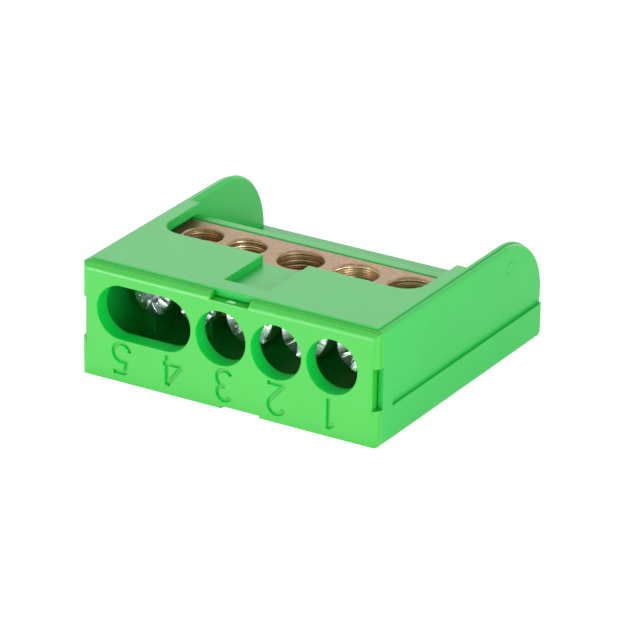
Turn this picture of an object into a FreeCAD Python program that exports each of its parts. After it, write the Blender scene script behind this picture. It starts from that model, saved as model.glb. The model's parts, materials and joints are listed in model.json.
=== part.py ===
import FreeCAD, Part
import math
import os

os.makedirs("parts", exist_ok=True)

Vector = FreeCAD.Vector

# Insulated earth terminal block: a moulded housing open at the front, a front cap with driver
# holes, a brass bar with five upright wire bores, and a clamp screw across each bore.
# X runs across the block, Y from its front face to its back, and Z up from the face it lies on.
# All sizes are in millimetres.

# Poles: three for large wires and two for small ones, counted from the right
first_pole_inset = 6.1
last_pole_inset = 5.65
large_pitch = 7.4
small_pitch = 6.05
large_poles = 3
small_poles = 2
driver_hole_radius = 3.35

# Overall size; the block is as wide as its poles and their end insets
pole_span = large_poles * large_pitch + (small_poles - 1) * small_pitch
width = first_pole_inset + pole_span + last_pole_inset
depth = 39.2
height = 14.4

# Housing walls
side_wall = 1.3
floor_wall = 1.4
rear_wall = 1.3

# Step between the raised top panel and the rims of the side walls
rim_width = 0.8
rim_step = 0.2
rim_round = 0.5

# Ears behind the bar, and the base between them
ear_wall = 1.5
ear_radius = 9.0
ear_chamfer = 0.3
base_height = 5.4
base_round = 0.8
base_wall = 1.3
base_pockets = 3

# Slide ledges along the sides
ledge_height = 4.2
ledge_depth = 0.42
relief_top = 10.6
relief_step = 0.15
relief_setback = 3.6

# Front cap
flange = 1.3
plug_inset = 0.8
plug_depth = 0.95
plug_gap = 0.05
plug_end_gap = 0.1
cap_top_round = 1.2
cap_side_round = 1.2
cap_foot_round = 0.35
notch_width = 5.2
notch_centre = 0.15
lower_notch_centre = 1.8
lower_notch_depth = 0.4
nib_length = 4.0
nib_height = 0.25
nib_setback = 11.0

# Brass bar
bar_setback = 12.1
bar_depth = 10.0
bar_height = 7.0
bar_sink = 2.05
bar_end_gap = 0.2
bar_fit_gap = 0.05
bar_chamfer = 0.3
rear_web = 1.4
large_bore_radius = 2.8
small_bore_radius = 2.38
bore_chamfer = 0.2

# Clamp screws
large_thread_radius = 2.4
small_thread_radius = 1.9
large_head_radius = 3.2
small_head_radius = 2.6
large_head_height = 2.1
small_head_height = 2.1
large_travel = 3.6
small_travel = 3.2
thread_gap = 0.05
seat_gap = 0.1
tip_gap = 0.2
tip_chamfer = 0.5
head_chamfer = 0.35
recess_depth = 1.3
recess_width = 0.95
recess_reach = 0.78

# Top panel: opening over the bar, arms beside it, and the shallow thumb recess
opening_lip = 0.65
opening_radius = 2.8
arm_width = 2.55
arm_overrun = 0.3
arm_thickness = 1.3
arm_relief_setback = 2.4
thumb_width = 6.1
thumb_depth = 1.0
thumb_setback = 4.0

# Seat of the bar: ribs below it and a catch in front of each end
rib_thickness = 1.0
rib_setback = 2.5
pad_width = 1.5
catch_bite = 0.45
catch_length = 2.2
catch_inset = 1.5

# Places worked out from the sizes above
front = -depth / 2
rear = depth / 2
right = width / 2
rim_level = height - rim_step
seam = front + flange
plug_end = seam + plug_depth
bar_front = front + bar_setback
bar_rear = bar_front + bar_depth
bar_top = height - bar_sink
bar_bottom = bar_top - bar_height
axis_level = bar_bottom + bar_height / 2
bore_line = bar_rear - rear_web - large_bore_radius
cavity_side = right - side_wall
cavity_top = bar_top + bar_fit_gap
bay_front = bar_rear + rear_wall
bay_side = right - ear_wall
opening_front = bar_front + opening_lip
opening_side = right - arm_width
arm_end = bar_rear + arm_overrun
bar_side = cavity_side - bar_end_gap

# A cut starts this far outside the face that it opens, and places this close are the same place
overcut = 1.0
beyond = width
near = 0.01
full_turn = 360


def outline(points):
    """Closed flat face through the points."""
    return Part.Face(Part.makePolygon(points + points[:1]))


def rounded(points, radii):
    """Closed flat face through the points, each corner rounded by its own radius."""
    edges = []
    ends = []
    for number, corner in enumerate(points):
        before = (points[number - 1] - corner).normalize()
        after = (points[(number + 1) % len(points)] - corner).normalize()
        half_turn = before.getAngle(after) / 2
        radius = radii[number]
        if radius <= 0:
            ends.append((corner, corner))
            continue
        reach = radius / math.tan(half_turn)
        middle = (before + after).normalize() * (radius / math.sin(half_turn) - radius)
        start = corner + before * reach
        finish = corner + after * reach
        edges.append(Part.Arc(start, corner + middle, finish).toShape())
        ends.append((start, finish))
    for number in range(len(points)):
        start = ends[number - 1][1]
        finish = ends[number][0]
        if start.distanceToPoint(finish) > near:
            edges.append(Part.makeLine(start, finish))
    return Part.Face(Part.Wire(Part.__sortEdges__(edges)))


def plan_box(left_x, right_x, front_y, rear_y, low_z, high_z, radii=(0, 0, 0, 0)):
    """Upright prism on a rectangular plan; radii start at the front left corner, going right."""
    points = [
        Vector(left_x, front_y, low_z),
        Vector(right_x, front_y, low_z),
        Vector(right_x, rear_y, low_z),
        Vector(left_x, rear_y, low_z),
    ]
    return rounded(points, radii).extrude(Vector(0, 0, high_z - low_z))


def front_box(left_x, right_x, low_z, high_z, front_y, rear_y, radii=(0, 0, 0, 0)):
    """Prism along Y on a rectangular front view; radii start at the lower left corner."""
    points = [
        Vector(left_x, front_y, low_z),
        Vector(right_x, front_y, low_z),
        Vector(right_x, front_y, high_z),
        Vector(left_x, front_y, high_z),
    ]
    return rounded(points, radii).extrude(Vector(0, rear_y - front_y, 0))


def cylinder(radius, start, along):
    """Round bar from a point along a vector."""
    return Part.makeCylinder(radius, along.Length, start, along)


def fuse(shapes):
    return shapes[0].multiFuse(shapes[1:]).removeSplitter()


def both_sides(shape):
    """The shape and its mirror image across the middle plane."""
    return [shape, shape.mirror(Vector(0, 0, 0), Vector(1, 0, 0))]


def edges_where(shape, test):
    """Edges whose ends and middle all pass the test."""
    found = []
    for edge in shape.Edges:
        middle = edge.valueAt((edge.FirstParameter + edge.LastParameter) / 2)
        places = [vertex.Point for vertex in edge.Vertexes] + [middle]
        if all(test(place) for place in places):
            found.append(edge)
    return found


def poles():
    """Each pole's place across the block, from the right, and whether it takes large wires."""
    place = right - first_pole_inset
    found = []
    for number in range(large_poles + small_poles):
        large = number < large_poles
        found.append((place, large))
        place -= large_pitch if large else small_pitch
    return found


def bore_radius(large):
    return large_bore_radius if large else small_bore_radius


def thread_radius(large):
    return large_thread_radius if large else small_thread_radius


def side_view(level, left_x, right_x):
    """Body of the housing seen from the side: square at the seam, round at the ears' top."""
    points = [
        Vector(left_x, seam, 0),
        Vector(left_x, rear, 0),
        Vector(left_x, rear, level),
        Vector(left_x, seam, level),
    ]
    radii = (0, base_round, ear_radius, 0)
    return rounded(points, radii).extrude(Vector(right_x - left_x, 0, 0))


def housing_block():
    """Outside of the housing: side walls with rounded rims and the raised panel between them."""
    walls = side_view(rim_level, -right, right)
    outer_edges = edges_where(walls, lambda p: abs(p.x) > right - near)
    rim = [edge for edge in outer_edges if max(v.Point.y for v in edge.Vertexes) > seam + near]
    walls = walls.makeFillet(rim_round, rim)
    panel = side_view(height, -right + rim_width, right - rim_width)
    return fuse([walls, panel])


def housing():
    body = housing_block()
    cuts = []

    # The bay between the ears, open above the base and behind the bar's rear wall
    bay = plan_box(-bay_side, bay_side, bay_front, rear + beyond, base_height, height + beyond)
    cuts.append(bay)

    # The cavity for the bar and screws, drawn from the front, and the rebate for the cap's plug
    cuts.append(front_box(-cavity_side, cavity_side, floor_wall, cavity_top, seam - beyond, bar_rear))
    plug_side = right - plug_inset + plug_gap
    plug_low = plug_inset - plug_gap
    plug_high = rim_level - plug_inset + plug_gap
    rebate_end = plug_end + plug_end_gap
    cuts.append(front_box(-plug_side, plug_side, plug_low, plug_high, seam - beyond, rebate_end))
    cuts += snap_nibs(plug_gap)

    # The opening over the bar, with rounded front corners, and the thinner arms beside it
    corners = (opening_radius, opening_radius, 0, 0)
    cuts.append(plan_box(-opening_side, opening_side, opening_front, rear + beyond,
                         bar_top, height + beyond, corners))
    cuts.append(plan_box(-bay_side, bay_side, arm_end, rear + beyond, bar_top, height + beyond))
    cuts.append(plan_box(-cavity_side, cavity_side, opening_front + arm_relief_setback, arm_end,
                         bar_top, height - arm_thickness))

    # The thumb recess in the middle of the panel
    thumb = thumb_width / 2
    cuts.append(plan_box(notch_centre - thumb, notch_centre + thumb, front + thumb_setback,
                         opening_front + opening_radius, height - thumb_depth, height + beyond))

    # The drafted side faces above the slide ledges, stepped in a little at the mould line
    relief = outline([
        Vector(right, front + relief_setback, relief_top),
        Vector(right - relief_step, front + relief_setback, relief_top),
        Vector(right - ledge_depth, front + relief_setback, ledge_height),
        Vector(right, front + relief_setback, ledge_height),
    ])
    cuts += both_sides(relief.extrude(Vector(0, depth, 0)))

    # The cored underside of the base, in pockets open at the back with a rib between each two
    clear = 2 * bay_side - (base_pockets - 1) * base_wall
    pocket = clear / base_pockets
    for number in range(base_pockets):
        left_x = -bay_side + number * (pocket + base_wall)
        cuts.append(front_box(left_x, left_x + pocket, floor_wall, base_height - base_wall,
                              bay_front + base_wall, rear + beyond))

    body = body.cut(Part.Compound(cuts))
    body = fuse([body] + seat_ribs() + both_sides(catch()))
    inner = edges_where(body, lambda p: abs(abs(p.x) - bay_side) < near and p.y > arm_end - near)
    crests = [edge for edge in inner if edge.BoundBox.ZMax > height - near and edge.BoundBox.YLength > near]
    return body.makeChamfer(ear_chamfer, crests)


def seat_ribs():
    """Ribs under the bar, one between each two bores and a pad under each end."""
    ribs = []
    places = [place for place, large in poles()]
    half = rib_thickness / 2
    for right_pole, left_pole in zip(places, places[1:]):
        middle = (right_pole + left_pole) / 2
        ribs.append(plan_box(middle - half, middle + half, bar_front + rib_setback, bar_rear,
                             floor_wall, bar_bottom))
    pad = plan_box(cavity_side - pad_width, cavity_side, bar_front, bar_rear, floor_wall, bar_bottom)
    return ribs + both_sides(pad)


def catch():
    """Ramped catch on the side wall that keeps the bar from sliding forwards."""
    heel = bar_front - bar_fit_gap
    low_z = bar_bottom + catch_inset
    ramp = outline([
        Vector(cavity_side, heel, low_z),
        Vector(cavity_side - catch_bite, heel, low_z),
        Vector(cavity_side, heel - catch_length, low_z),
    ])
    return ramp.extrude(Vector(0, 0, bar_height - 2 * catch_inset))


def snap_nibs(gap):
    """Half-round nibs above and below the cap's plug, grown by a gap for their pockets."""
    middle_y = seam + plug_depth / 2
    length = nib_length + 2 * gap
    nibs = []
    for level, inward in ((plug_inset, 1), (rim_level - plug_inset, -1)):
        for side in (-1, 1):
            left_x = side * nib_setback - length / 2
            centre = Vector(left_x, middle_y, level)
            nibs.append(cylinder(nib_height + gap, centre, Vector(length, 0, 0)))
    return nibs


def front_cap():
    """Front wall of the block: rounded flange, plug behind it, driver holes and pry notches."""
    across = front_box(-right, right, 0, rim_level, front, seam,
                       (rim_round, rim_round, rim_round, rim_round))
    plan = plan_box(-right, right, front, seam, 0, rim_level, (cap_side_round, cap_side_round, 0, 0))
    side_points = [
        Vector(-right, front, 0),
        Vector(-right, seam, 0),
        Vector(-right, seam, rim_level),
        Vector(-right, front, rim_level),
    ]
    side = rounded(side_points, (cap_foot_round, 0, 0, cap_top_round)).extrude(Vector(width, 0, 0))
    face = across.common(plan).common(side)

    plug_side = right - plug_inset
    plug = front_box(-plug_side, plug_side, plug_inset, rim_level - plug_inset, seam, plug_end)
    cap = fuse([face, plug] + snap_nibs(0))

    cuts = []
    through = Vector(0, 2 * beyond, 0)
    for place, large in poles():
        cuts.append(cylinder(driver_hole_radius, Vector(place, front - beyond, axis_level), through))
    slot_poles = [place for place, large in poles() if not large]
    cuts.append(front_box(min(slot_poles), max(slot_poles), axis_level - driver_hole_radius,
                          axis_level + driver_hole_radius, front - beyond, plug_end + beyond))

    half = notch_width / 2
    middle = height / 2
    top_floor = rim_level - plug_inset
    cuts.append(front_box(notch_centre - half, notch_centre + half, top_floor, height,
                          front - beyond, seam))
    cuts += both_sides(front_box(plug_side, right + beyond, middle - half, middle + half,
                                 front - beyond, seam))
    cuts.append(front_box(lower_notch_centre - half, lower_notch_centre + half, -beyond,
                          lower_notch_depth, front - beyond, seam))
    return cap.cut(Part.Compound(cuts))


def terminal_bar():
    """Drawn brass bar with an upright wire bore and a tapped hole for the screw at each pole."""
    bar = plan_box(-bar_side, bar_side, bar_front, bar_rear, bar_bottom, bar_top)
    bar = bar.makeChamfer(bar_chamfer, bar.Edges)
    cuts = []
    for place, large in poles():
        radius = bore_radius(large)
        foot = Vector(place, bore_line, bar_bottom - overcut)
        cuts.append(cylinder(radius, foot, Vector(0, 0, bar_height + 2 * overcut)))
        mouth = Vector(place, bore_line, bar_top - bore_chamfer)
        cuts.append(Part.makeCone(radius, radius + 2 * bore_chamfer, 2 * bore_chamfer, mouth))
        start = Vector(place, bar_front - overcut, axis_level)
        reach = Vector(0, bore_line - bar_front + overcut, 0)
        cuts.append(cylinder(thread_radius(large) + thread_gap, start, reach))
    return bar.cut(Part.Compound(cuts))


def clamp_screw(place, large):
    """Clamp screw, wound back until its tip is clear of the bore; its head faces the front."""
    thread = thread_radius(large)
    head = large_head_radius if large else small_head_radius
    head_height = large_head_height if large else small_head_height
    travel = large_travel if large else small_travel
    tip = bore_line - bore_radius(large) - tip_gap
    under_head = bar_front - travel - seat_gap
    head_face = under_head - head_height
    profile = [
        Vector(0, head_face, 0),
        Vector(head - head_chamfer, head_face, 0),
        Vector(head, head_face + head_chamfer, 0),
        Vector(head, under_head, 0),
        Vector(thread, under_head, 0),
        Vector(thread, tip - tip_chamfer, 0),
        Vector(thread - tip_chamfer, tip, 0),
        Vector(0, tip, 0),
    ]
    screw = outline(profile).revolve(Vector(0, 0, 0), Vector(0, 1, 0), full_turn)
    half = recess_width / 2
    reach = head * recess_reach
    recess_end = head_face + recess_depth
    slot = front_box(-reach, reach, -half, half, head_face - overcut, recess_end)
    cross = front_box(-half, half, -reach, reach, head_face - overcut, recess_end)
    screw = screw.cut(Part.Compound([slot, cross]))
    screw.translate(Vector(place, 0, axis_level))
    return screw


def write(shape, name):
    """One solid to its own file."""
    solid = shape.Solids[0]
    print(name, "solids", len(shape.Solids), "valid", solid.isValid(), "volume", round(solid.Volume, 1))
    solid.exportStep("parts/" + name + ".step")


write(housing(), "housing")
write(front_cap(), "front_cap")
write(terminal_bar(), "terminal_bar")
for number, (place, large) in enumerate(poles(), start=1):
    write(clamp_screw(place, large), "clamp_screw_" + str(number))
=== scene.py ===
import json
import math
import random
import bmesh
import bpy
from mathutils import Matrix, Vector


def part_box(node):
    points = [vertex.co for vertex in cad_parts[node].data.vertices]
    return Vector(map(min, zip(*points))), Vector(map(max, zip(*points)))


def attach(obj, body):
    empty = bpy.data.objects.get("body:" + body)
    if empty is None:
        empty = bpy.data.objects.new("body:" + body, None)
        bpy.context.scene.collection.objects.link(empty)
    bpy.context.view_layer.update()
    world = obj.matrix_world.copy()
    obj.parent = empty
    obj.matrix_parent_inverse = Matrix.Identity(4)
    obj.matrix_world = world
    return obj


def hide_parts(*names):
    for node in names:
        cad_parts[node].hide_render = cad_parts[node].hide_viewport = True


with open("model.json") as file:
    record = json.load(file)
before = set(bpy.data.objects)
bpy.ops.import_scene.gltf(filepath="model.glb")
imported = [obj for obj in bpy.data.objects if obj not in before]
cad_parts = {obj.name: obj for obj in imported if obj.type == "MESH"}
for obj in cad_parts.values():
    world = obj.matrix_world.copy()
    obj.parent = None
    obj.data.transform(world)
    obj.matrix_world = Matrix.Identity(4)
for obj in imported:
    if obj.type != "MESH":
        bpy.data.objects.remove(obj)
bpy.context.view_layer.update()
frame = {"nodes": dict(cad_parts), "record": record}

# Earth terminal block, lying with its wire side up. Sizes are in millimetres unless a name says
# otherwise. X runs across the block, Y from its front to its back and Z up.

# Housing
# One moulding in green polyamide, drawn forwards off its core. The mould's own small radius breaks
# its edges, and it carries an ejector mark on its right flank.
mm = 0.001
housing_greens = ("#058A2D", "#0A9234")
housing_roughness = (0.3, 0.42)
housing_gloss = 0.31
housing_grain = 0.5
housing_edge_radius = 0.12
polyamide_ior = 1.53
# Spark erosion leaves a grain of about 0.05 mm. It is drawn coarser than that, so that it shows.
grain_spacing = 0.22
grain_height = 0.0025
flow_spacing = 7.0
# How far light goes in the plastic: its depth, and the share of that for red, green and blue
glow_depth = 0.8
glow_reach = (0.1, 1.0, 0.3)
ejector_mark_place = (20.0, 11.1, 11.6)
ejector_mark_radius = 0.72
ejector_groove_width = 0.16
ejector_groove_depth = 0.07
ring_groove_steps = 48
edge_segments = 3
sharp_turn = math.radians(25)
flat_turn = math.radians(0.5)
hard_turn = math.radians(40)
point_gap = 0.002
least_face_width = 0.15
# Edges stay sharp in these boxes: round the mark, where the ears' rounded backs run out into the
# flanks, and at a tight corner of the opening
ejector_zone = ((19, 10, 10.7), (21, 12.2, 12.5))
right_ear_zone = ((19.3, 17, 4.4), (20.1, 19.7, 10.7))
left_ear_zone = ((-20.1, 17, 4.4), (-19.3, 19.7, 10.7))
tight_corner_zone = ((-18.8, -4.6, 12.3), (-18.6, -4.4, 12.5))


def linear(hex_colour):
    """Linear colour with alpha, from an sRGB hex value."""
    channels = [int(hex_colour[start:start + 2], 16) / 255 for start in (1, 3, 5)]
    bright = [((c + 0.055) / 1.055) ** 2.4 if c > 0.04045 else c / 12.92 for c in channels]
    return (*bright, 1.0)


def add_node(material, kind, settings=None, values=None, links=None):
    """One shader node with its settings, its socket values and its incoming links."""
    node = material.node_tree.nodes.new(kind)
    for name, value in (settings or {}).items():
        setattr(node, name, value)
    for name, value in (values or {}).items():
        node.inputs[name].default_value = value
    for name, source in (links or {}).items():
        material.node_tree.links.new(source, node.inputs[name])
    return node


def new_material(name):
    """Empty node material."""
    material = bpy.data.materials.new(name)
    material.use_nodes = True
    material.node_tree.nodes.clear()
    return material


def moulded_polyamide(name, greens, roughness, gloss, grain_share, glow_share=0.0):
    """Green polyamide as moulded: satin, with a fine grain and faint shades where it flowed."""
    material = new_material(name)
    place = add_node(material, "ShaderNodeTexCoord").outputs["Object"]
    flow = add_node(material, "ShaderNodeTexNoise",
                    values={"Scale": 1 / (flow_spacing * mm), "Detail": 2.0, "Roughness": 0.5},
                    links={"Vector": place})
    grain = add_node(material, "ShaderNodeTexNoise",
                     values={"Scale": 1 / (grain_spacing * mm), "Detail": 3.0, "Roughness": 0.6},
                     links={"Vector": place})
    shade = add_node(material, "ShaderNodeMix", {"data_type": "RGBA"},
                     {"A": linear(greens[0]), "B": linear(greens[1])},
                     {"Factor": flow.outputs["Fac"]})
    satin = add_node(material, "ShaderNodeMapRange",
                     values={"To Min": roughness[0], "To Max": roughness[1]},
                     links={"Value": grain.outputs["Fac"]})
    relief = add_node(material, "ShaderNodeBump",
                      values={"Strength": grain_share, "Distance": grain_height * mm},
                      links={"Height": grain.outputs["Fac"]})
    surface = add_node(material, "ShaderNodeBsdfPrincipled",
                       values={"IOR": polyamide_ior, "Specular IOR Level": gloss,
                               "Subsurface Weight": glow_share, "Subsurface Radius": glow_reach,
                               "Subsurface Scale": glow_depth * mm},
                       links={"Base Color": shade.outputs["Result"],
                              "Roughness": satin.outputs["Result"],
                              "Normal": relief.outputs["Normal"]})
    add_node(material, "ShaderNodeOutputMaterial", links={"Surface": surface.outputs["BSDF"]})
    return material


def join_facets(solid, gap):
    """Joins points that are closer than a gap, and the facets of flat faces."""
    bmesh.ops.remove_doubles(solid, verts=solid.verts, dist=gap * mm)
    bmesh.ops.dissolve_limit(solid, angle_limit=flat_turn, verts=solid.verts, edges=solid.edges)


def clean_copy(node_name):
    """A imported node's solid as a new mesh, its facets joined where they are flat."""
    solid = bmesh.new()
    solid.from_mesh(frame["nodes"][node_name].data)
    join_facets(solid, point_gap)
    return solid


def stand(solid, place, along, turn=0.0):
    """Takes a mesh that was made along Z to a place in metres, along a vector and turned about it."""
    upright = Vector(along).to_track_quat("Z", "Y").to_matrix().to_4x4()
    spot = Matrix.Translation(place) @ upright @ Matrix.Rotation(turn, 4, "Z")
    bmesh.ops.transform(solid, matrix=spot, verts=solid.verts)


def ring_groove(place, along, radius, width, depth):
    """Closed ring with a three-cornered section, to cut a round groove in a face that looks along."""
    cutter = bmesh.new()
    corners = [(radius - width / 2, depth), (radius + width / 2, depth), (radius, -depth)]
    points = [cutter.verts.new((out * mm, 0, level * mm)) for out, level in corners]
    sides = [cutter.edges.new((points[start], points[start - 1])) for start in (0, 1, 2)]
    bmesh.ops.spin(cutter, geom=points + sides, cent=(0, 0, 0), axis=(0, 0, 1), angle=math.tau,
                   steps=ring_groove_steps, use_merge=True)
    bmesh.ops.remove_doubles(cutter, verts=cutter.verts, dist=point_gap * mm)
    bmesh.ops.recalc_face_normals(cutter, faces=cutter.faces)
    stand(cutter, Vector(place) * mm, along)
    return cutter


def new_piece(solid, name, material):
    """Object from a bmesh, placed by its mesh, with its material."""
    mesh = bpy.data.meshes.new(name)
    solid.to_mesh(mesh)
    solid.free()
    mesh.materials.append(material)
    piece = bpy.data.objects.new(name, mesh)
    bpy.context.scene.collection.objects.link(piece)
    return piece


def combine(piece, other, operation, crossing=False, material=None):
    """Cuts a closed mesh out of a piece, or joins it on. A crossing mesh is one that meets itself."""
    tool_mesh = bpy.data.meshes.new("tool")
    other.to_mesh(tool_mesh)
    other.free()
    if material:
        tool_mesh.materials.append(material)
    tool = bpy.data.objects.new("tool", tool_mesh)
    bpy.context.scene.collection.objects.link(tool)
    boolean = piece.modifiers.new("combine", "BOOLEAN")
    boolean.operation = operation
    boolean.solver = "EXACT"
    boolean.use_self = crossing
    boolean.material_mode = "TRANSFER" if material else "INDEX"
    boolean.object = tool
    whole = bpy.context.evaluated_depsgraph_get()
    result = bpy.data.meshes.new_from_object(piece.evaluated_get(whole))
    piece.modifiers.remove(boolean)
    piece.data = result
    bpy.data.objects.remove(tool)


def in_zone(point, zones):
    """Whether a point lies in one of the zones, each a box given by its low and its high corner."""
    return any(all(low < place / mm < high for low, place, high in zip(lowest, point, highest))
               for lowest, highest in zones)


def mean_width(face):
    """Mean width of a face in millimetres, which is small on a sliver."""
    return 2 * face.calc_area() / face.calc_perimeter() / mm


def soften_edges(piece, radius, spared=(), least_width=least_face_width, gap=point_gap):
    """Rounds a cut piece's sharp outward edges, apart from those in some zones or beside slivers."""
    solid = bmesh.new()
    solid.from_mesh(piece.data)
    join_facets(solid, gap)
    loose = [edge for edge in solid.edges if not edge.link_faces]
    bmesh.ops.delete(solid, geom=loose, context="EDGES")
    sharp = [edge for edge in solid.edges
             if edge.is_manifold and edge.is_convex and edge.calc_face_angle() > sharp_turn
             and min(mean_width(face) for face in edge.link_faces) > least_width
             and not any(in_zone(vert.co, spared) for vert in edge.verts)]
    bmesh.ops.bevel(solid, geom=sharp, offset=radius * mm, offset_type="OFFSET", affect="EDGES",
                    segments=edge_segments, profile=0.5, material=-1, clamp_overlap=False)
    solid.to_mesh(piece.data)
    solid.free()


def finish_shading(piece, hardest=hard_turn):
    """Soft shading on curves, hard edges past an angle, and flat faces that stay flat."""
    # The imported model's own normals would keep every edge soft
    carried_normals = piece.data.attributes.get("custom_normal")
    if carried_normals:
        piece.data.attributes.remove(carried_normals)
    piece.data.shade_smooth()
    piece.data.set_sharp_from_angle(angle=hardest)
    even = piece.modifiers.new("even_shading", "WEIGHTED_NORMAL")
    even.keep_sharp = True
    even.weight = 100


green = moulded_polyamide("green_polyamide_spark_eroded", housing_greens, housing_roughness,
                          housing_gloss, housing_grain)
housing = new_piece(clean_copy("housing"), "moulded_housing", green)
combine(housing, ring_groove(ejector_mark_place, (1, 0, 0), ejector_mark_radius,
                             ejector_groove_width, ejector_groove_depth), "DIFFERENCE")
soften_edges(housing, housing_edge_radius,
             [ejector_zone, right_ear_zone, left_ear_zone, tight_corner_zone])
finish_shading(housing)
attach(housing, "block")
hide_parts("housing")

# Terminal bar
# Drawn brass bar, sawn to length and drilled for the wires, with tapped holes for the screws.
# Its faces are dull from the drawing die, and the drill has left fine rings in the bores.
drawn_tans = ("#AC9072", "#6A563F")
drawn_roughness = (0.4, 0.55)
drilled_tans = ("#DBC09C", "#B29672")
drilled_roughness = (0.26, 0.4)
bar_edge_radius = 0.08
# A die's lines are a few hundredths of a millimetre apart. They are drawn coarser, to show.
line_spacing = 0.15
line_stretch = (0.3, 1.0, 1.0)
line_share = 0.35
line_height = 0.003
tarnish_spacing = 0.5
# The rings follow the drill's feed. They are drawn deeper than a drill leaves them, to show.
ring_step = 0.14
ring_step_spread = (0.6, 1.4)
ring_least = 0.006
ring_depth = 0.05
ring_depth_spread = (0.3, 1.0)
ring_overrun = 0.6
ring_crease = math.radians(9)
ring_seed = 4
bore_segments = 72


def worked_brass(name, tans, roughness):
    """Brass with the fine lengthwise lines of its working, slightly dulled and specked."""
    material = new_material(name)
    place = add_node(material, "ShaderNodeTexCoord").outputs["Object"]
    stretched = add_node(material, "ShaderNodeMapping", values={"Scale": line_stretch},
                         links={"Vector": place})
    lines = add_node(material, "ShaderNodeTexNoise",
                     values={"Scale": 1 / (line_spacing * mm), "Detail": 2.0, "Roughness": 0.5},
                     links={"Vector": stretched.outputs["Vector"]})
    tarnish = add_node(material, "ShaderNodeTexNoise",
                       values={"Scale": 1 / (tarnish_spacing * mm), "Detail": 3.0, "Roughness": 0.7},
                       links={"Vector": place})
    shade = add_node(material, "ShaderNodeMix", {"data_type": "RGBA"},
                     {"A": linear(tans[0]), "B": linear(tans[1])},
                     {"Factor": tarnish.outputs["Fac"]})
    dullness = add_node(material, "ShaderNodeMapRange",
                        values={"To Min": roughness[0], "To Max": roughness[1]},
                        links={"Value": lines.outputs["Fac"]})
    relief = add_node(material, "ShaderNodeBump",
                      values={"Strength": line_share, "Distance": line_height * mm},
                      links={"Height": lines.outputs["Fac"]})
    surface = add_node(material, "ShaderNodeBsdfPrincipled", values={"Metallic": 1.0},
                       links={"Base Color": shade.outputs["Result"],
                              "Roughness": dullness.outputs["Result"],
                              "Normal": relief.outputs["Normal"]})
    add_node(material, "ShaderNodeOutputMaterial", links={"Surface": surface.outputs["BSDF"]})
    return material


def turned(place, along, steps, segments):
    """Closed turned solid from a place along a vector, given as distances with their radii."""
    solid = bmesh.new()
    distance, radius = steps[0]
    bmesh.ops.create_circle(solid, cap_ends=True, segments=segments, radius=radius * mm)
    bmesh.ops.translate(solid, vec=(0, 0, distance * mm), verts=solid.verts)
    end = list(solid.faces)
    for next_distance, next_radius in steps[1:]:
        end = bmesh.ops.extrude_face_region(solid, geom=end)["geom"]
        ring = [part for part in end if isinstance(part, bmesh.types.BMVert)]
        wider = next_radius / radius
        bmesh.ops.translate(solid, vec=(0, 0, (next_distance - distance) * mm), verts=ring)
        bmesh.ops.scale(solid, vec=(wider, wider, 1), verts=ring)
        distance, radius = next_distance, next_radius
    bmesh.ops.recalc_face_normals(solid, faces=solid.faces)
    stand(solid, place, along)
    return solid


brass = worked_brass("drawn_brass", drawn_tans, drawn_roughness)
drilled = worked_brass("drilled_brass", drilled_tans, drilled_roughness)
bar = new_piece(clean_copy("terminal_bar"), "brass_bar", brass)
soften_edges(bar, bar_edge_radius)
chance = random.Random(ring_seed)
wire_bores = [mount for mount in frame["record"]["mounts"] if mount["name"].startswith("wire_bore")]
for bore in wire_bores:
    bore_radius = bore["dims"]["r_mm"]
    bore_length = bore["dims"]["length_mm"]
    steps = []
    level = -ring_overrun
    while level < bore_length + ring_overrun:
        deep = ring_depth * chance.uniform(*ring_depth_spread) if len(steps) % 2 else 0
        steps.append((level, bore_radius + ring_least + deep))
        level += ring_step * chance.uniform(*ring_step_spread)
    foot = Vector(bore["pos_m"]) - Vector((0, 0, bore_length / 2 * mm))
    combine(bar, turned(foot, (0, 0, 1), steps, bore_segments), "DIFFERENCE", material=drilled)
finish_shading(bar, ring_crease)
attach(bar, "block")
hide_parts("terminal_bar")

# Clamp screws
# Turned steel screws, zinc plated, with a slot and cross recess in the head. Each is wound back in
# its tapped hole, and stops where it stopped turning, so no two recesses stand alike.
zinc_blue = "#E4EAEC"
zinc_roughness = (0.2, 0.3)
zinc_cloud_spacing = 0.6
zinc_ripple_share = 0.4
zinc_ripple_height = 0.008
large_screw_count = 3
# Pitches, thread radii and head heights of the large screws and of the small ones
large_screw = {"pitch": 0.8, "thread": 2.4, "head_height": 2.1}
small_screw = {"pitch": 0.7, "thread": 1.9, "head_height": 2.1}
screw_segments = 96
head_rim_round = 0.35
head_shoulder = 0.01
tip_chamfer = 0.5
neck_length = 0.4
thread_depth = 0.42
thread_proud = 0.1
thread_mouth_share = 0.55
thread_overrun = 0.2
thread_turn_steps = 24
# The recess's reaches are shares of the head's radius. A taper is a floor's width over its mouth's.
slot_reach = 1.1
slot_half_width = 0.38
slot_depth = 1.1
slot_taper = 0.62
cross_reach = 0.66
cross_half_width = 0.45
cross_depth = 1.7
rib_reach = 0.36
rib_depth = 1.4
tick_half_width = 0.26
tick_depth = 0.22
tick_taper = 0.1
wedge_rise = 0.3
recess_turns = (75, 79, 134, 168, 118)
recess_edge_radius = 0.04
recess_least_width = 0.1
recess_gap = 0.03


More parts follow.
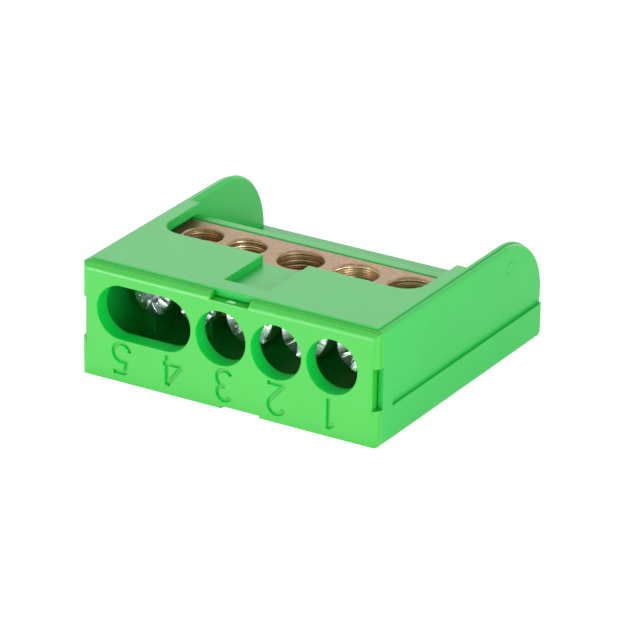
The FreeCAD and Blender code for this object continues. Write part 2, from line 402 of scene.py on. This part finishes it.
def zinc_plate(name):
    """Bright zinc plate on turned steel: cool grey, glossy, a little uneven."""
    material = new_material(name)
    place = add_node(material, "ShaderNodeTexCoord").outputs["Object"]
    cloud = add_node(material, "ShaderNodeTexNoise",
                     values={"Scale": 1 / (zinc_cloud_spacing * mm), "Detail": 1.0, "Roughness": 0.5},
                     links={"Vector": place})
    gloss = add_node(material, "ShaderNodeMapRange",
                     values={"To Min": zinc_roughness[0], "To Max": zinc_roughness[1]},
                     links={"Value": cloud.outputs["Fac"]})
    relief = add_node(material, "ShaderNodeBump",
                      values={"Strength": zinc_ripple_share, "Distance": zinc_ripple_height * mm},
                      links={"Height": cloud.outputs["Fac"]})
    surface = add_node(material, "ShaderNodeBsdfPrincipled",
                       values={"Metallic": 1.0, "Base Color": linear(zinc_blue)},
                       links={"Roughness": gloss.outputs["Result"],
                              "Normal": relief.outputs["Normal"]})
    add_node(material, "ShaderNodeOutputMaterial", links={"Surface": surface.outputs["BSDF"]})
    return material


def wedge(solid, reach, half_width, depth, turn, taper):
    """Slot with its mouth at Z 0, turned about Z. Its floor is as wide as the taper says."""
    mouth = 1 + (1 - taper) * wedge_rise
    sunk = bmesh.ops.create_cone(solid, cap_ends=True, segments=4, radius1=taper, radius2=mouth,
                                 depth=depth * (1 + wedge_rise) * mm)["verts"]
    bmesh.ops.rotate(solid, verts=sunk, cent=(0, 0, 0), matrix=Matrix.Rotation(math.pi / 4, 3, "Z"))
    grow = math.sqrt(2) * mm
    bmesh.ops.scale(solid, verts=sunk, vec=(reach * grow, half_width * grow, 1))
    bmesh.ops.translate(solid, verts=sunk, vec=(0, 0, -depth * (1 - wedge_rise) / 2 * mm))
    bmesh.ops.rotate(solid, verts=sunk, cent=(0, 0, 0), matrix=Matrix.Rotation(turn, 3, "Z"))


def recess(head_radius, place, turn):
    """Slot, cross, corner ribs and marks of a recess, to cut down into a head that faces -Y."""
    cutter = bmesh.new()
    wedge(cutter, head_radius * slot_reach, slot_half_width, slot_depth, 0, slot_taper)
    for quarter in (0, math.pi / 2):
        wedge(cutter, head_radius * cross_reach, cross_half_width, cross_depth, quarter, slot_taper)
    rib = head_radius * rib_reach
    wedge(cutter, rib, rib, rib_depth, math.pi / 4, slot_taper)
    for eighth in (math.pi / 4, math.pi / 2, math.pi * 3 / 4):
        wedge(cutter, head_radius * slot_reach, tick_half_width, tick_depth, eighth, tick_taper)
    stand(cutter, place, (0, -1, 0), turn)
    return cutter


def thread_groove(place, kind, length):
    """Helical V groove along +Y from a place, a little wider than the shank."""
    cutter = bmesh.new()
    outside = kind["thread"] + thread_proud
    half = kind["pitch"] * thread_mouth_share
    corners = [(kind["thread"] - thread_depth, 0), (outside, -half), (outside, half)]
    section = bmesh.ops.contextual_create(
        cutter, geom=[cutter.verts.new((x * mm, 0, z * mm)) for x, z in corners])["faces"]
    turns = length / kind["pitch"]
    steps = round(turns * thread_turn_steps)
    bmesh.ops.spin(cutter, geom=section, cent=(0, 0, 0), axis=(0, 0, 1),
                   dvec=(0, 0, length * mm / steps), angle=math.tau * turns, steps=steps)
    bmesh.ops.recalc_face_normals(cutter, faces=cutter.faces)
    stand(cutter, place, (0, 1, 0))
    return cutter


zinc = zinc_plate("zinc_plated_steel")
for number, turn in enumerate(recess_turns, start=1):
    node_name = "clamp_screw_" + str(number)
    kind = large_screw if number <= large_screw_count else small_screw
    low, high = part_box(node_name)
    middle = (low + high) / 2
    head_radius = (high.z - low.z) / 2 / mm
    length = (high.y - low.y) / mm
    face_centre = Vector((middle.x, low.y, middle.z))
    steps = [(0, head_radius - head_rim_round)]
    for part in (1, 2, 3):
        lean = part * math.pi / 6
        steps.append((head_rim_round * (1 - math.cos(lean)),
                      head_radius - head_rim_round * (1 - math.sin(lean))))
    steps += [(kind["head_height"], head_radius),
              (kind["head_height"] + head_shoulder, kind["thread"]),
              (length - tip_chamfer, kind["thread"]), (length, kind["thread"] - tip_chamfer)]
    screw = new_piece(turned(face_centre, (0, 1, 0), steps, screw_segments),
                      "zinc_screw_" + str(number), zinc)
    combine(screw, recess(head_radius, face_centre, math.radians(turn)), "DIFFERENCE", crossing=True)
    soften_edges(screw, recess_edge_radius, least_width=recess_least_width, gap=recess_gap)
    thread_start = kind["head_height"] + neck_length
    thread_length = length - thread_start + thread_overrun
    combine(screw, thread_groove(face_centre + Vector((0, thread_start * mm, 0)), kind, thread_length),
            "DIFFERENCE")
    finish_shading(screw)
    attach(screw, "screw_" + str(number))
    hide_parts(node_name)

# Front cap
# Second moulding in the same polyamide, snapped into the front of the housing once the bar and
# screws are in. Pole numbers are cut into it, and its torn gate shows in the top notch.
cap_greens = ("#168819", "#1C8E20")
cap_roughness = (0.31, 0.37)
cap_gloss = 0.49
cap_grain = 0.1
# The bore and numeral walls and the faces behind the rim get a brighter green than the cap's: painted
# glow of light shining through the thin plastic there, on top of the shader's own glow
painted_glow_greens = ("#02A231", "#05A839")
bore_wall_roughness = (0.4, 0.5)
bore_wall_gloss = 0.12
bore_wall_glow = 0.6
torn_greens = ("#2FA044", "#9AD6A0")
torn_roughness = (0.3, 0.5)
torn_gloss = 0.5
torn_grain = 1.0
cap_edge_radius = 0.12
# Width of the rim that looks outwards, and how far a wall's normal may lean to the front
rim_width = 1.3
bore_wall_lean = 0.3
numeral_wall_lean = 0.5
painted_glow_slot = 1
gate_place = (0.1, -19.0, 13.4)
gate_size = (0.72, 0.36, 0.2)
gate_lumps = (0.5, 1.1)
gate_seed = 9
# Edges stay sharp in these boxes: round the numerals and round the gate
numeral_zone = ((-18, -20, 0.7), (18, -19.1, 5.4))
gate_zone = ((-0.9, -19.55, 13.3), (1.1, -18.4, 13.8))
# Half of a numeral's groove from its mouth to its floor, as distances out from its middle and down
numeral_section = [(0.31, -0.1), (0.31, 0), (0.285, 0.02), (0.2, 0.34)]
arc_step = math.radians(12)
# Each numeral's centre, left to right as the block lies, as X and Z
numeral_places = {5: (-14.3, 3.1), 4: (-7.3, 3.3), 3: (-0.35, 3.1), 2: (6.65, 3.15), 1: (13.65, 3.0)}
# Strokes of each numeral as it reads: start, heading in degrees, then moves. A move is a length
# and no turn, or a radius and a turn in degrees to the left.
numeral_strokes = {
    1: [((0.1, -1.9), 90, [(3.8, 0)]),
        ((0.1, 1.75), 215, [(0.95, 0)])],
    2: [((-1.014, 1.122), 75, [(1.05, -208), (2.71, 0)]),
        ((-1.2, -1.85), 0, [(2.4, 0)])],
    3: [((-0.816, 1.33), 65, [(0.9, -245), (0.15, 0)]),
        ((-0.15, 0.05), 0, [(0.15, 0), (0.98, -245)])],
    4: [((0.82, -1.75), 90, [(3.75, 0)]),
        ((-1.3, -0.7), 0, [(2.65, 0)]),
        ((0.75, 1.95), -126.9, [(3.25, 0)])],
    5: [((1.1, 1.75), 180, [(1.6, 0)]),
        ((-0.45, 1.85), -99.2, [(1.87, 0)]),
        ((-0.72, 0.058), 40, [(1.12, -302)])],
}


def gate_stub():
    """Low, uneven stub that is left where the runner was torn off."""
    stub = bmesh.new()
    bmesh.ops.create_icosphere(stub, subdivisions=2, radius=mm)
    chance = random.Random(gate_seed)
    for vert in stub.verts:
        vert.co *= chance.uniform(*gate_lumps)
    bmesh.ops.scale(stub, vec=gate_size, verts=stub.verts)
    bmesh.ops.translate(stub, vec=Vector(gate_place) * mm, verts=stub.verts)
    return stub


def stroke(start, heading, moves, spot):
    """Closed cutter of one engraved stroke: the groove section drawn along straights and arcs."""
    cutter = bmesh.new()
    lean = math.radians(heading)
    side = Vector((-math.sin(lean), 0, math.cos(lean)))
    along = Vector((math.cos(lean), 0, math.sin(lean)))
    point = Vector((start[0], 0, start[1]))
    outline = numeral_section + [(-out, down) for out, down in reversed(numeral_section)]
    corners = [cutter.verts.new((point + side * out + Vector((0, down, 0))) * mm)
               for out, down in outline]
    end = bmesh.ops.contextual_create(cutter, geom=corners)["faces"]
    for size, turn in moves:
        if turn == 0:
            end = bmesh.ops.extrude_face_region(cutter, geom=end)["geom"]
            ring = [part for part in end if isinstance(part, bmesh.types.BMVert)]
            bmesh.ops.translate(cutter, verts=ring, vec=along * size * mm)
            point = point + along * size
            continue
        angle = math.radians(turn)
        centre = point + side * math.copysign(size, angle)
        end = bmesh.ops.spin(cutter, geom=end, cent=centre * mm, axis=(0, -1, 0), angle=angle,
                             steps=math.ceil(abs(angle) / arc_step))["geom_last"]
        swing = Matrix.Rotation(angle, 3, Vector((0, -1, 0)))
        point = centre + swing @ (point - centre)
        side = swing @ side
        along = swing @ along
    bmesh.ops.recalc_face_normals(cutter, faces=cutter.faces)
    bmesh.ops.transform(cutter, matrix=spot, verts=cutter.verts)
    return cutter


cap_face = moulded_polyamide("green_polyamide_cap", cap_greens, cap_roughness, cap_gloss, cap_grain)
painted_glow_green = moulded_polyamide("green_polyamide_painted_glow", painted_glow_greens, bore_wall_roughness,
                              bore_wall_gloss, cap_grain, bore_wall_glow)
torn = moulded_polyamide("green_polyamide_torn", torn_greens, torn_roughness, torn_gloss, torn_grain)
cap_low, cap_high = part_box("front_cap")
cap = new_piece(clean_copy("front_cap"), "moulded_front_cap", cap_face)
cap.data.materials.append(painted_glow_green)
# Each numeral is turned half round, since they stand on their heads when the wire side is up
for digit, (across, level) in numeral_places.items():
    spot = Matrix.Translation((across * mm, cap_low.y, level * mm)) @ Matrix.Rotation(math.pi, 4, "Y")
    for start, heading, moves in numeral_strokes[digit]:
        combine(cap, stroke(start, heading, moves, spot), "DIFFERENCE")
combine(cap, gate_stub(), "UNION", material=torn)
soften_edges(cap, cap_edge_radius, [numeral_zone, gate_zone])
# Bore and numeral walls and the faces behind the rim take the brighter green, a painted glow of light
# through the plastic
for face in cap.data.polygons:
    lean_forward = abs(face.normal.y)
    within_rim = (abs(face.center.x) < cap_high.x - rim_width * mm
                  and cap_low.z + rim_width * mm < face.center.z < cap_high.z - rim_width * mm)
    in_bore = within_rim and lean_forward < bore_wall_lean and face.material_index == 0
    engraved = in_zone(face.center, [numeral_zone]) and lean_forward < numeral_wall_lean
    behind_rim = face.center.y > cap_low.y + rim_width * mm
    if in_bore or engraved or behind_rim:
        face.material_index = painted_glow_slot
finish_shading(cap)
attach(cap, "block")
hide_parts("front_cap")

# Studio
# A light table that is lit from below, most of all in front of the block, and a pale cove round it.
# Softboxes stand in front, at the right and behind, and two hang overhead.
table_size = 4000
table_grey = "#A6A6A6"
table_roughness = 0.9
table_glow_white = "#FFFFFF"
table_glow_front = 1.9
table_glow_behind = 0.66
table_glow_edges = (-23, -16)
# The cove is bright up to one height and dark from another on, as the Z of the way looked in
cove_bright = (1.0, 1.0, 1.0, 1.0)
cove_dark = (0.18, 0.18, 0.18, 1.0)
cove_bright_height = 0.5
cove_dark_height = 0.8
cove_strength = 1.9
softbox_distance = 600
# Each softbox's direction from the block, its width and height, and its brightness
softboxes = {
    "front_softbox": ((-0.463, -0.86, 0.2), 250, 130, 12.0),
    "side_softbox": ((0.87, -0.45, 0.24), 300, 250, 8.8),
    "strip_softbox": ((0.776, 0.384, 0.5), 60, 300, 14.0),
    "overhead_softbox": ((0.206, -0.342, 0.919), 150, 150, 5.0),
    "left_softbox": ((-0.463, -0.2, 0.86), 360, 300, 1.8),
    "rear_softbox": ((-0.463, 0.793, 0.396), 520, 300, 0.5),
}
camera_azimuth = math.radians(30.27)
camera_elevation = math.radians(23.34)
camera_roll = math.radians(1.094)
camera_distance = 636.4
camera_focus_length = 312.5
camera_aim = Vector((0.0, -1.6, 6.0))
camera_shift_right = -0.672
camera_shift_up = 0.155
camera_near = 50
camera_far = 10000

table = bmesh.new()
bmesh.ops.create_grid(table, x_segments=1, y_segments=1, size=table_size / 2 * mm)
table_white = new_material("white_table")
table_place = add_node(table_white, "ShaderNodeTexCoord").outputs["Object"]
table_depth = add_node(table_white, "ShaderNodeSeparateXYZ", links={"Vector": table_place}).outputs["Y"]
table_glow = add_node(table_white, "ShaderNodeMapRange",
                      values={"From Min": table_glow_edges[0] * mm, "From Max": table_glow_edges[1] * mm,
                              "To Min": table_glow_front, "To Max": table_glow_behind},
                      links={"Value": table_depth})
table_face = add_node(table_white, "ShaderNodeBsdfPrincipled",
                      values={"Base Color": linear(table_grey), "Roughness": table_roughness,
                              "Emission Color": linear(table_glow_white)},
                      links={"Emission Strength": table_glow.outputs["Result"]})
add_node(table_white, "ShaderNodeOutputMaterial", links={"Surface": table_face.outputs["BSDF"]})
floor = new_piece(table, "table", table_white)

cove = bpy.data.worlds.new("cove")
bpy.context.scene.world = cove
cove.use_nodes = True
cove.node_tree.nodes.clear()
cove_direction = add_node(cove, "ShaderNodeTexCoord").outputs["Generated"]
cove_height = add_node(cove, "ShaderNodeSeparateXYZ", links={"Vector": cove_direction}).outputs["Z"]
fall = add_node(cove, "ShaderNodeValToRGB", links={"Fac": cove_height})
fall.color_ramp.elements[0].position = cove_bright_height
fall.color_ramp.elements[0].color = cove_bright
fall.color_ramp.elements[1].position = cove_dark_height
fall.color_ramp.elements[1].color = cove_dark
sky = add_node(cove, "ShaderNodeBackground", values={"Strength": cove_strength},
               links={"Color": fall.outputs["Color"]})
add_node(cove, "ShaderNodeOutputWorld", links={"Surface": sky.outputs["Background"]})

for name, (direction, width, height, brightness) in softboxes.items():
    lamp = bpy.data.lights.new(name, "AREA")
    lamp.shape = "RECTANGLE"
    lamp.size = width * mm
    lamp.size_y = height * mm
    lamp.energy = brightness * math.pi * width * height * mm * mm
    holder = bpy.data.objects.new(name, lamp)
    away = Vector(direction).normalized()
    holder.location = away * softbox_distance * mm
    holder.rotation_euler = away.to_track_quat("Z", "Y").to_euler()
    bpy.context.scene.collection.objects.link(holder)

back = Vector((math.sin(camera_azimuth) * math.cos(camera_elevation),
               -math.cos(camera_azimuth) * math.cos(camera_elevation),
               math.sin(camera_elevation)))
level_right = Vector((math.cos(camera_azimuth), math.sin(camera_azimuth), 0))
level_up = back.cross(level_right)
right = math.cos(camera_roll) * level_right + math.sin(camera_roll) * level_up
up = math.cos(camera_roll) * level_up - math.sin(camera_roll) * level_right
lens = bpy.data.cameras.new("camera")
lens.lens = camera_focus_length
lens.clip_start = camera_near * mm
lens.clip_end = camera_far * mm
camera = bpy.data.objects.new("camera", lens)
shift = camera_shift_right * right + camera_shift_up * up
camera_place = camera_aim - shift + camera_distance * back
camera_turn = Matrix((right, up, back)).transposed().to_4x4()
camera.matrix_world = Matrix.Translation(camera_place * mm) @ camera_turn
bpy.context.scene.collection.objects.link(camera)
bpy.context.scene.camera = camera
bpy.context.scene.view_settings.view_transform = "Standard"
